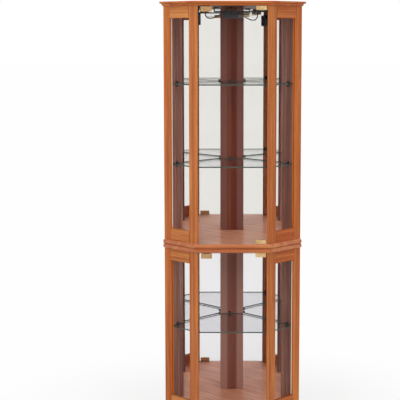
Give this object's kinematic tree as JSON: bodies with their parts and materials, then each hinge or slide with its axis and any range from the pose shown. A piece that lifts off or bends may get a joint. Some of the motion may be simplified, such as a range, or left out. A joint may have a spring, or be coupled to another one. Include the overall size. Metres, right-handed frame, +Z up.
{
  "type": "corner curio cabinet",
  "caption": "Tall corner display cabinet with angled glazed sides, frameless glass doors over mirrored walls, glass shelves and a lamp under the crown.",
  "frame": {"origin": "on the floor, under the centre of the whole box", "axes": "+Z up, front with the doors towards -Y, +X to the viewer's right"},
  "size_m": [0.6026, 0.402, 1.79],
  "materials": {
    "oak_veneer": "satin lacquered veneer, orange-brown, fine straight grain",
    "dark_veneer": "satin dark red-brown veneer",
    "hardboard": "raw pressed board",
    "pane_glass": "clear float glass",
    "door_glass": "clear tempered glass with ground edges",
    "shelf_glass": "clear glass with dark green ground edges",
    "mirror_glass": "silvered glass",
    "brass": "bright plated",
    "black_plastic": "matt moulded",
    "strap_metal": "black enamel",
    "bulb_glass": "clear blown glass on a brass cap",
    "rocker_plastic": "gloss moulded",
    "lead_sheath": "matt sheath"
  },
  "bodies": {
    "carcass": {"crown_board": "oak_veneer", "upper_base_board": "oak_veneer", "lower_top_board": "oak_veneer", "lower_base_board": "oak_veneer", "plinth_front": "oak_veneer", "plinth_right": "oak_veneer", "plinth_left": "oak_veneer", "plinth_back_rail": "oak_veneer", "upper_front_stile_right": "oak_veneer", "upper_outer_stile_right": "oak_veneer", "upper_side_top_rail_right": "oak_veneer", "upper_side_bottom_rail_right": "oak_veneer", "upper_side_pane_right": "pane_glass", "upper_back_stile_right": "dark_veneer", "upper_mirror_right": "mirror_glass", "upper_front_stile_left": "oak_veneer", "upper_outer_stile_left": "oak_veneer", "upper_side_top_rail_left": "oak_veneer", "upper_side_bottom_rail_left": "oak_veneer", "upper_side_pane_left": "pane_glass", "upper_back_stile_left": "dark_veneer", "upper_mirror_left": "mirror_glass", "upper_corner_board": "dark_veneer", "upper_latch_housing": "black_plastic", "lower_front_stile_right": "oak_veneer", "lower_outer_stile_right": "oak_veneer", "lower_side_top_rail_right": "oak_veneer", "lower_side_bottom_rail_right": "oak_veneer", "lower_side_pane_right": "pane_glass", "lower_back_stile_right": "dark_veneer", "lower_mirror_right": "mirror_glass", "lower_front_stile_left": "oak_veneer", "lower_outer_stile_left": "oak_veneer", "lower_side_top_rail_left": "oak_veneer", "lower_side_bottom_rail_left": "oak_veneer", "lower_side_pane_left": "pane_glass", "lower_back_stile_left": "dark_veneer", "lower_mirror_left": "mirror_glass", "lower_corner_board": "dark_veneer", "lower_latch_housing": "black_plastic", "back_sheet": "hardboard", "upper_shelf_top": "shelf_glass", "upper_shelf_bottom": "shelf_glass", "lower_shelf": "shelf_glass", "lamp_strap": "strap_metal", "lamp_holder": "black_plastic", "lamp_switch": "black_plastic", "bulb": "bulb_glass", "lamp_lead": "lead_sheath"},
    "upper_door": {"upper_door_glass": "door_glass", "upper_door_top_hinge": "brass", "upper_door_bottom_hinge": "brass", "upper_door_strike": "brass"},
    "upper_plunger": {"upper_latch_plunger": "black_plastic"},
    "lower_door": {"lower_door_glass": "door_glass", "lower_door_top_hinge": "brass", "lower_door_bottom_hinge": "brass", "lower_door_strike": "brass"},
    "lower_plunger": {"lower_latch_plunger": "black_plastic"},
    "rocker": {"switch_rocker": "rocker_plastic"}
  },
  "joints": [
    {"name": "upper_door_hinge", "type": "hinge", "parent": "carcass", "child": "upper_door", "pos_m": [0.131, -0.1738, 1.2865], "axis": [0, 0, 1], "range_deg": [0, 110]},
    {"name": "lower_door_hinge", "type": "hinge", "parent": "carcass", "child": "lower_door", "pos_m": [0.131, -0.1738, 0.4225], "axis": [0, 0, 1], "range_deg": [0, 110]},
    {"name": "upper_latch_push", "type": "slide", "parent": "carcass", "child": "upper_plunger", "axis": [0, 1, 0], "range_m": [0, 0.0035], "stiffness_N_per_m": 250},
    {"name": "lower_latch_push", "type": "slide", "parent": "carcass", "child": "lower_plunger", "axis": [0, 1, 0], "range_m": [0, 0.0035], "stiffness_N_per_m": 250},
    {"name": "switch_rock", "type": "hinge", "parent": "carcass", "child": "rocker", "pos_m": [-0.13796, -0.14071, 1.719], "axis": [-0.7071, 0.7071, 0], "range_deg": [0, 16]}
  ]
}
